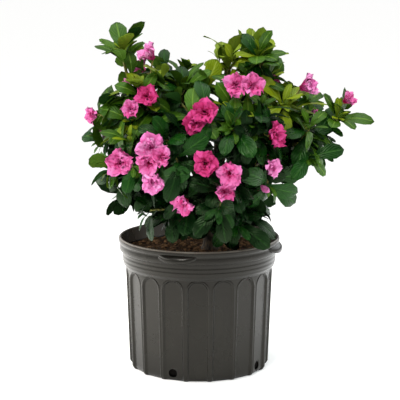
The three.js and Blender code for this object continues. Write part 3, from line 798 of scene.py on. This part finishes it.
def planShoot(shoot):
    draw = makeRandom(shoot["seed"] * seedStep)
    axis = slope(shoot["heading"], shoot["rise"])
    head = place(shoot["heading"], shoot["out"], shoot["up"])
    foot = head - axis * shoot["stem"]
    ends = [dict(start=foot, tip=head, leaves=shoot["leaves"], spread=shoot["spread"], size=0)]
    phase = draw() * fullTurn
    for i in range(shoot["twigs"]):
        start = foot + axis * shoot["stem"] * (0.3 + 0.5 * (i + draw()) / shoot["twigs"])
        tilt = math.radians(twig["tilt"]) * (0.85 + 0.3 * draw())
        length = twig["length"] * (0.8 + 0.4 * draw())
        tip = start + leaning(axis, phase + i * goldenAngle, tilt) * length
        ends.append(dict(start=start, tip=tip, leaves=shoot["leaves"] - 1, spread=shoot["spread"], size=0))
    for i, (heading, out, up, size, form, colour) in enumerate(shoot["blooms"]):
        start = foot + axis * shoot["stem"] * (i + 0.5) / len(shoot["blooms"])
        face = place(heading, out, up)
        tip = face - awayFromCore(face) * bloom["depth"] * size
        ends.append(dict(start=start, tip=tip, leaves=bloom["collar"], spread=bloom["tilt"], size=size,
                         form=form, colour=colour))
    for end in ends:
        end["aim"] = unit(end["tip"] - end["start"])
        end["whorl"] = planWhorl(end, draw, leaf["length"])
    return dict(shoot=shoot, axis=axis, foot=foot, head=head, ends=ends)


def planWhorl(end, draw, length):
    first = draw() * fullTurn
    whorl = []
    for i in range(end["leaves"]):
        turn = first + i * goldenAngle + 0.3 * draw()
        tilt = math.radians(end["spread"]) * (0.6 + 0.7 * i / end["leaves"] + 0.25 * draw())
        whorl.append(dict(turn=turn, tilt=tilt, length=length * (0.78 + 0.34 * draw()),
                          back=2 + leaf["apart"] * i))
    return whorl


plans = [planShoot(shoot) for shoot in shoots]
crownSeed = 20
draw = makeRandom(crownSeed * seedStep)


def growLimbs():
    x, y = trunk["foot"]
    made = {"trunk": Curve((x, y, trunk["ground"]), (x, y, 230), trunk["top"])}
    for plan in plans:
        shoot = plan["shoot"]
        start = made[shoot["parent"]].pointAt(shoot["at"])
        end = plan["foot"]
        bend = end - plan["axis"] * bough["bend"] * np.linalg.norm(end - start)
        made[shoot["name"]] = Curve(start, bend, end)
    return made


limbs = growLimbs()


# A capped tube of unit radius and length, bent along a line of points.
def tubeShape(sides, steps):
    bm = bmesh.new()
    bmesh.ops.create_cone(bm, cap_ends=True, cap_tris=True, segments=sides, radius1=1, radius2=1, depth=1,
                          matrix=Matrix.Translation((0, 0, 0.5)))
    for i in range(1, steps):
        bmesh.ops.bisect_plane(bm, geom=bm.verts[:] + bm.edges[:] + bm.faces[:], plane_co=(0, 0, i / steps),
                               plane_no=(0, 0, 1))
    return arraysOf(bm)


tubes = {}


def bendTube(line, radii, sides, relief=0.0, tone=0.5):
    steps = len(line) - 1
    key = (sides, steps)
    if key not in tubes:
        tubes[key] = tubeShape(sides, steps)
    shape = tubes[key]
    aims = np.gradient(line, axis=0)
    aims /= np.linalg.norm(aims, axis=1, keepdims=True)
    first = [across(aims[0])[0]]
    for aim in aims[1:]:
        carried = first[-1] - aim * first[-1].dot(aim)
        first.append(unit(carried))
    first = np.array(first)
    second = np.cross(aims, first)
    step = np.rint(shape["points"][:, 2] * steps).astype(int)
    radius = radii[step]
    if relief:
        turn = np.arctan2(shape["points"][:, 1], shape["points"][:, 0])
        ridges = np.sin(3 * turn + step * 0.7) * 0.5 + np.sin(5 * turn - step * 1.9 + tone * 9)
        knots = np.sin(step * 2.3 + tone * 20) ** 8
        radius = radius * (1 + relief * (0.5 * ridges + knots))
    x, y = shape["points"][:, 0:1], shape["points"][:, 1:2]
    points = line[step] + first[step] * x * radius[:, None] + second[step] * y * radius[:, None]
    return {"points": points, "faces": shape["faces"], "tone": tone}


wood = {"step": 7, "relief": 0.09, "collar": 0.35}


def makeLimbs():
    copies = []
    for name, curve in limbs.items():
        steps = max(6, round(curve.length / wood["step"]))
        shares = np.linspace(0, 1, steps + 1)
        line = curve.pointAt(shares)
        if name == "trunk":
            radii = trunk["radius"] * (1 + trunk["flare"] * (1 - shares) ** 3)
        else:
            base = bough["tip"] + bough["taper"] * curve.length
            radii = base + (bough["tip"] - base) * shares
            radii = radii * (1 + wood["collar"] * np.exp(-shares * curve.length / 10))
        sides = 16 if name == "trunk" else 10
        copies.append(bendTube(line, radii, sides, wood["relief"], draw()))
    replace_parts(joinCopies("limbs", copies, oldBark), *limbNodes)


makeLimbs()
print("trunk and boughs are made")


# A grid for one leaf or petal, from its root to its tip, with its own UV map.
def mappedGrid(columns, steps):
    bm = bmesh.new()
    layer = bm.loops.layers.uv.new("leafMap")
    bmesh.ops.create_grid(bm, x_segments=columns, y_segments=len(steps) - 1, size=1)
    for face in bm.faces:
        for loop in face.loops:
            loop[layer].uv = ((loop.vert.co.x + 1) / 2, steps[rowOf(loop.vert, steps)])
    return bm


def rowOf(vert, steps):
    return round((vert.co.y + 1) / 2 * (len(steps) - 1))


# Leaf shapes: a grid narrowed to a blunt oval, bowed along its length and folded at the midrib.
leafForm = {
    "columns": 4, "width": 0.43, "steps": (0, 0.07, 0.2, 0.37, 0.56, 0.75, 0.92, 1.0),
    "outline": (0.05, 0.09, 0.29, 0.62, 0.91, 1.0, 0.62, 0.0),  # half width at each step, of the widest
    # bow along the length, droop of the tip, fold at the midrib, wave of the edge
    "kinds": ((0.10, 0.06, 0.16, 0.012), (0.07, 0.16, 0.22, 0.02), (0.13, 0.10, 0.10, 0.03),
              (0.05, 0.22, 0.26, 0.015), (0.12, -0.04, 0.30, 0.01)),
}


def leafShape(kind):
    bow, droop, fold, wave = kind
    steps = leafForm["steps"]
    bm = mappedGrid(leafForm["columns"], steps)
    for vert in bm.verts:
        row = rowOf(vert, steps)
        along, side = steps[row], vert.co.x
        half = leafForm["width"] / 2 * leafForm["outline"][row]
        lift = bow * 4 * along * (1 - along) - droop * along**2
        lift += fold * half * (abs(side) - 0.9 * abs(side) ** 3)
        lift += wave * side**2 * math.sin(9 * along + 2 * side)
        vert.co = (half * side, along * (1 - 0.35 * max(0, droop) * along), lift)
    bmesh.ops.remove_doubles(bm, verts=bm.verts, dist=1e-4)
    return arraysOf(bm, mapped=True)


leafShapes = [leafShape(kind) for kind in leafForm["kinds"]]


# Petals stand round a flower's axis: the middle line rises from the throat, then turns outwards.
petalForm = {
    "columns": 6, "throat": 1.6, "outline": (0.2, 0.4, 0.68, 0.92, 1.0, 0.88, 0.46),
    "cup": 0.12, "flare": 0.02, "notch": 0.06, "shoulder": 0.1,
}


def petalShape(length, width, opening, ruffle, seed):
    line = [np.array([petalForm["throat"], 0.0, 0.0])]
    normals = []
    rows = len(petalForm["outline"]) - 1
    for i in range(rows + 1):
        lean = math.radians(between(opening, float(smoothStep((i + 0.5) / rows * 1.15 - 0.12))))
        normals.append(np.array([-math.cos(lean), 0.0, math.sin(lean)]))
        line.append(line[-1] + np.array([math.sin(lean), 0.0, math.cos(lean)]) * length / rows)
    steps = np.linspace(0, 1, rows + 1)
    bm = mappedGrid(petalForm["columns"], steps)
    for vert in bm.verts:
        row = rowOf(vert, steps)
        along, side = row / rows, vert.co.x
        half = width / 2 * petalForm["outline"][row]
        frill = math.sin(side * 4.1 + seed * 1.7) + 0.6 * math.sin(side * 8.3 + seed * 2.9 + along * 3)
        bowl = petalForm["flare"] - petalForm["cup"] * (1 - along)
        lift = ruffle * along**2 * frill + bowl * width * side**2
        notch = -petalForm["notch"] * length * (row == rows and abs(side) < 0.1)
        notch -= petalForm["shoulder"] * length * along**3 * side**2
        middle = line[row] + unit(line[row + 1] - line[row]) * notch
        vert.co = middle + normals[row] * lift + np.array([0, half * side, 0])
    return arraysOf(bm, mapped=True)


# Rings of petals for each form of flower: count, length, width, opening from base to edge, ruffle. Flowers
# nod a little, and those on the front side turn to the front, the more the further out to a side they are.
flowerForms = {
    "open": ((5, 33, 25, (24, 86), 4.4), (5, 29, 22, (18, 70), 4.8), (4, 22, 18, (12, 48), 4.4),
             (4, 16, 13, (22, -14), 2.2)),
    "half": ((5, 37, 25, (14, 60), 4.6), (5, 31, 22, (10, 46), 4.4), (4, 23, 17, (16, -4), 2.8)),
    "bud": ((4, 27, 15, (10, 4), 0.5), (3, 24, 13, (6, 0), 0.5)),
}
flowerScale = {"open": 0.92, "half": 1.06, "bud": 1.5}
flowerPose = {
    "makes": 4, "nod": 0.85, "turn": 0.3, "turnOutside": 0.5, "sunk": 2, "middle": 12,
    "clear": {"open": 0.95, "half": 0.95, "bud": 0.7},  # how much of its radius leaves keep clear of
}
# What varies by chance from petal to petal, how each ring turns over the last, and a painted shade: each
# inner ring gets less of the pale edge.
petalChance = {"seed": 7919, "base": 8, "tip": 26, "size": (0.9, 1.1), "turn": 0.35, "tone": (0.35, 1.0)}
ringStep = {"turn": 31, "innerRingShade": 0.04}


def turnAbout(points, degrees):
    turn = math.radians(degrees)
    c, s = math.cos(turn), math.sin(turn)
    return points @ np.array([[c, s, 0], [-s, c, 0], [0, 0, 1]])


def flowerShape(form, make):
    petals = []
    chance = petalChance
    mixed = makeRandom((make + 3) * chance["seed"])
    for ring, (count, length, width, opening, ruffle) in enumerate(flowerForms[form]):
        for i in range(count):
            base = opening[0] + chance["base"] * (mixed() - 0.5)
            tip = opening[1] + chance["tip"] * (mixed() - 0.5)
            long, wide = length * between(chance["size"], mixed()), width * between(chance["size"], mixed())
            petal = petalShape(long, wide, (base, tip), ruffle, 10 * mixed())
            turn = (i + 0.5 * ring + chance["turn"] * (mixed() - 0.5)) * 360 / count
            petal["points"] = turnAbout(petal["points"], turn + ringStep["turn"] * ring)
            # painted shade towards the flower's middle: inner rings get less of the pale edge colour
            petal["tone"] = between(chance["tone"], mixed()) - ringStep["innerRingShade"] * ring
            if form == "bud":  # a closed bud shows only the pale backs of its petals
                petal["map"][:, 1] = 0.6 + 0.4 * petal["map"][:, 1]
            petals.append(petal)
    return petals


makes = range(flowerPose["makes"])
flowerShapes = {form: [flowerShape(form, make) for make in makes] for form in flowerForms}
print("leaf and flower shapes are made")


# The room that a shoot may fill is its own solid's box, a little grown. Leaves keep clear of the mix, of
# the wall, of the way a flower is seen from and of leaves that lie the same way.
room = {
    "grow": 5, "shootGrow": 9, "soilClear": 3, "rimClear": 3, "mix": 136, "wall": (126, 150), "hang": 45,
    "behindFlower": 0.3, "aheadOfFlower": (45, 2.2), "besideFlower": 0.78, "leafApart": 7.0, "alike": 0.8,
}
boxes = {}
for name in massNodes:
    low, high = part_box(name)
    boxes[name[5:]] = (np.array(low) / toMetres, np.array(high) / toMetres)
heads = {plan["shoot"]["name"]: plan["head"] for plan in plans}
headNames = list(heads)
headPlaces = np.array([heads[name] for name in headNames])


def insideBox(points, name, grow):
    low, high = boxes[name]
    return bool(np.all(points > low - grow) and np.all(points < high + grow))


# Clear of the potting mix, the pot's wall and its grips.
def clearOfPot(points):
    out = np.hypot(points[:, 0], points[:, 1])
    near, far = room["wall"]
    up = points[:, 2]
    inMix = (out < room["mix"]) & (up < peat["top"] + room["soilClear"])
    inWall = (out > near) & (out < far) & (up < pot["height"] + room["rimClear"])
    below = up < pot["height"] - room["hang"]
    return not bool(np.any(inMix | inWall | below))


flowers = []  # middle, radius and a way that it is seen from, which leaves keep clear of


def clearOfFlowers(points):
    least, share = room["aheadOfFlower"]
    for middle, radius, facing in flowers:
        offset = points - middle
        ahead = offset @ facing
        side = np.linalg.norm(offset - ahead[:, None] * facing, axis=1)
        near = (ahead > -room["behindFlower"] * radius) & (ahead < max(least, share * radius))
        if np.any(near & (side < room["besideFlower"] * radius)):
            return False
    return True


grown = {"middles": [], "normals": []}


def crowded(middle, normal, reach):
    if not grown["middles"]:
        return False
    apart = np.linalg.norm(np.array(grown["middles"]) - middle, axis=1)
    alike = np.abs(np.array(grown["normals"]) @ normal)
    return bool(np.any((apart < reach) & (alike > room["alike"])))


sprays = {name: [] for name in leafLooks}
ages = (("deep", 0.17), ("dark", 0.38), ("mid", 0.62), ("light", 0.86), ("fresh", 9.0))


def leafAge(value):
    return next(name for name, top in ages if value < top)


def growLeaf(name, root, direction, facing, length, fresh, width=1.0, grow=room["grow"],
             reach=room["leafApart"], keep=False):
    top = unit(facing - direction * facing.dot(direction))
    side = np.cross(direction, top)
    shape = leafShapes[int(draw() * len(leafShapes))]
    basis = np.stack([side * length * width, direction * length, top * length])
    points = shape["points"] @ basis + root
    middle = root + direction * length / 2
    free = clearOfFlowers(points) and not crowded(middle, top, reach)
    if not insideBox(points, name, grow) or not clearOfPot(points) or not (free or keep):
        return False
    grown["middles"].append(middle)
    grown["normals"].append(top)
    tone = 0.5 + 0.9 * (draw() - 0.5)
    sprays[leafAge(fresh)].append({**shape, "points": points, "tone": tone})
    return True


twigCopies = []


def growTwig(start, tip, baseRadius, tipRadius, sag=0.06):
    middle = (start + tip) / 2 + across(unit(tip - start))[1] * np.linalg.norm(tip - start) * sag
    shares = np.linspace(0, 1, 5)[:, None]
    line = start * (1 - shares) ** 2 + middle * 2 * shares * (1 - shares) + tip * shares**2
    radii = baseRadius + (tipRadius - baseRadius) * shares[:, 0]
    twigCopies.append(bendTube(line, radii, 6, tone=draw()))


# A leaf that isn't clear is tried more open or closed, in degrees. Young leaves stand up in the middle.
whorl = {"tries": (0, 9, -9, 18, -18, 30), "width": (0.92, 0.2), "ageRange": 0.16, "outerAge": 0.05}
young = {
    "count": 5, "onFiner": 2, "tilt": (14, 9), "length": (0.34, 0.07, 0.08), "width": 0.8, "fresh": 0.22,
    "apart": 2.5,
}


def growWhorl(name, end, fresh, youngLeaves, grow, kept=None):
    facing = end["aim"] + np.array([0, 0, 0.8])
    made = 0
    for number, plan in enumerate(end["whorl"]):
        root = end["tip"] - end["aim"] * plan["back"]
        for more in whorl["tries"]:
            direction = leaning(end["aim"], plan["turn"], plan["tilt"] + math.radians(more))
            direction[2] -= leaf["droop"] * math.sin(plan["tilt"])
            width = whorl["width"][0] + whorl["width"][1] * draw()
            age = fresh - whorl["outerAge"] * (number > 3) + whorl["ageRange"] * (draw() - 0.5)
            keep = number == kept
            if growLeaf(name, root, unit(direction), facing, plan["length"], age, width, grow, keep=keep):
                made += 1
                break
    first = draw() * fullTurn
    least, more, spare = young["length"]
    for i in range(youngLeaves):
        tilt = math.radians(young["tilt"][0] + young["tilt"][1] * i)
        direction = leaning(end["aim"], first + i * goldenAngle, tilt)
        root = end["tip"] - end["aim"] * (1 + 0.8 * i)
        facing = end["aim"] * 0.4 + np.array([0, 0, 0.5]) + direction * 0.1
        length = leaf["length"] * (least + more * i + spare * draw())
        growLeaf(name, root, direction, facing, length, fresh + young["fresh"], young["width"],
                 reach=young["apart"])
    return made


# A flower looks away from the crown's core.
def flowerFacing(end):
    outwards = awayFromCore(end["tip"])
    turned = flowerPose["turn"] + flowerPose["turnOutside"] * abs(outwards[0])
    return unit(outwards - np.array([0, turned, 0])) if outwards[1] < 0.1 else outwards


def growFlower(end):
    shape = flowerShapes[end["form"]][int(draw() * flowerPose["makes"])]
    nod = np.array([draw() - 0.5, draw() - 0.5, draw() - 0.5])
    facing = unit(flowerFacing(end) + nod * flowerPose["nod"])
    first, second = across(facing)
    size = end["size"] * flowerScale[end["form"]]
    spin = 360 * draw()
    foot = end["tip"] - facing * flowerPose["sunk"]
    for petal in shape:
        points = turnAbout(petal["points"], spin) @ np.stack([first, second, facing]) * size + foot
        blossom[end["colour"]].append({**petal, "points": points})


# Leaves keep clear of a flower's face, and one on the front side is kept open to the front too.
def noteFlower(end):
    facing = flowerFacing(end)
    radius = bloom["radius"] * end["size"] * flowerPose["clear"][end["form"]]
    middle = end["tip"] + facing * flowerPose["middle"] * end["size"]
    flowers.append((middle, radius, facing))
    if facing[1] < 0:
        flowers.append((middle, radius, np.array([0.0, -1.0, 0.0])))


# The one leaf that passes close under a flower, and grows all the same: its twig and its number.
keptLeaves = {"front_centre": (1, 1)}


def growShoot(plan):
    name, fresh = plan["shoot"]["name"], plan["shoot"]["fresh"]
    twigKept, leafKept = keptLeaves.get(name, (None, None))
    growTwig(plan["foot"] - plan["axis"] * 3, plan["head"], stem["radius"], stem["tip"], sag=0.0)
    for number, end in enumerate(plan["ends"]):
        if number:
            growTwig(end["start"], end["tip"], twig["radius"], twig["radius"] * 0.8)
        if end["size"]:
            growFlower(end)
        kept = leafKept if number == twigKept else None
        growWhorl(name, end, fresh, 0 if end["size"] else young["count"], room["shootGrow"], kept)


blossom = {name: [] for name in petalLooks}
blooming = [end for plan in plans for end in plan["ends"] if end["size"]]
for end in blooming:
    noteFlower(end)
for plan in plans:
    growShoot(plan)
print("shoots are grown")

# Finer wood: more side twigs from each stem and from the outer part of its bough, each with a whorl.
finer = {
    "perShoot": 6, "onBack": 10, "others": {"top_left": 2, "right_far": 3, "lower_left": 9},
    "boughShare": 0.45, "boughFrom": 0.5, "stemTo": 0.85, "length": (20, 40), "tilt": (40, 82),
    "leaf": 0.8, "leaves": 6, "spread": 74, "fresh": -0.2, "base": 0.8, "tip": 0.55,
}


def growFiner():
    onBough = finer["boughShare"]
    for plan in plans:
        shoot = plan["shoot"]
        name, curve = shoot["name"], limbs[shoot["name"]]
        usual = finer["onBack"] if name.startswith("back") else finer["perShoot"]
        count = finer["others"].get(name, usual)
        for i in range(count):
            share = (i + draw()) / count
            if share > onBough:
                along = (share - onBough) / (1 - onBough) * finer["stemTo"]
                start, aim = plan["foot"] + plan["axis"] * shoot["stem"] * along, plan["axis"]
            else:
                along = between((finer["boughFrom"], 1), share / onBough)
                start, aim = curve.pointAt(along), curve.aimAt(along)
            tilt = math.radians(between(finer["tilt"], draw()))
            length = between(finer["length"], draw())
            direction = leaning(aim, i * goldenAngle + draw(), tilt)
            tip = start + direction * length
            end = dict(start=start, tip=tip, aim=direction, leaves=finer["leaves"], spread=finer["spread"])
            end["whorl"] = planWhorl(end, draw, leaf["length"] * finer["leaf"])
            if not clearOfPot(np.array([tip])) or not insideBox(tip, name, 0):
                continue
            if growWhorl(name, end, shoot["fresh"] + finer["fresh"], young["onFiner"], room["grow"]):
                growTwig(start, tip, twig["radius"] * finer["base"], twig["radius"] * finer["tip"])


growFiner()

# Old leaves along the inner boughs close the crown's middle. Most take the deepest look, whose near-black
# colour is partly their own and partly painted shade.
inner = {
    "apart": 6.5, "from": 0.3, "length": 52, "lengths": (0.75, 1.2), "tilt": 62, "tiltRange": 30, "low": 225,
    "grow": 30, "growBehind": 95, "behindWidth": 120, "fresh": (0.02, 0.22),
}


def growInner():
    for plan in plans:
        name, curve = plan["shoot"]["name"], limbs[plan["shoot"]["name"]]
        count = int(curve.length * (1 - inner["from"]) / inner["apart"])
        for i in range(count):
            share = inner["from"] + (1 - inner["from"]) * (i + 0.5) / count
            root, aim = curve.pointAt(share), curve.aimAt(share)
            tilt = math.radians(inner["tilt"] + inner["tiltRange"] * (draw() - 0.5))
            direction = leaning(aim, i * goldenAngle, tilt)
            length = inner["length"] * between(inner["lengths"], draw())
            if root[2] < inner["low"]:
                continue
            middle = root + direction * length / 2
            near = headNames[int(np.argmin(np.linalg.norm(headPlaces - middle, axis=1)))]
            behind = middle[1] > 0 and abs(middle[0]) < inner["behindWidth"]
            growLeaf(near, root, direction, np.array([0, 0, 1.0]) + aim * 0.3, length,
                     between(inner["fresh"], draw()), grow=inner["growBehind" if behind else "grow"])


growInner()
leafCount = sum(len(group) for group in sprays.values())
print(leafCount, "leaves and", len(blooming), "flowers are grown")
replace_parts(joinCopies("twigs", twigCopies, youngBark), *massNodes)
for name, copies in sprays.items():
    if copies:
        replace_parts(joinCopies(name + "Leaves", copies, leafFinishes[name]), *massNodes)
for name, copies in blossom.items():
    if copies:
        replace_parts(joinCopies(name + "Blossom", copies, petalFinishes[name]), *massNodes)
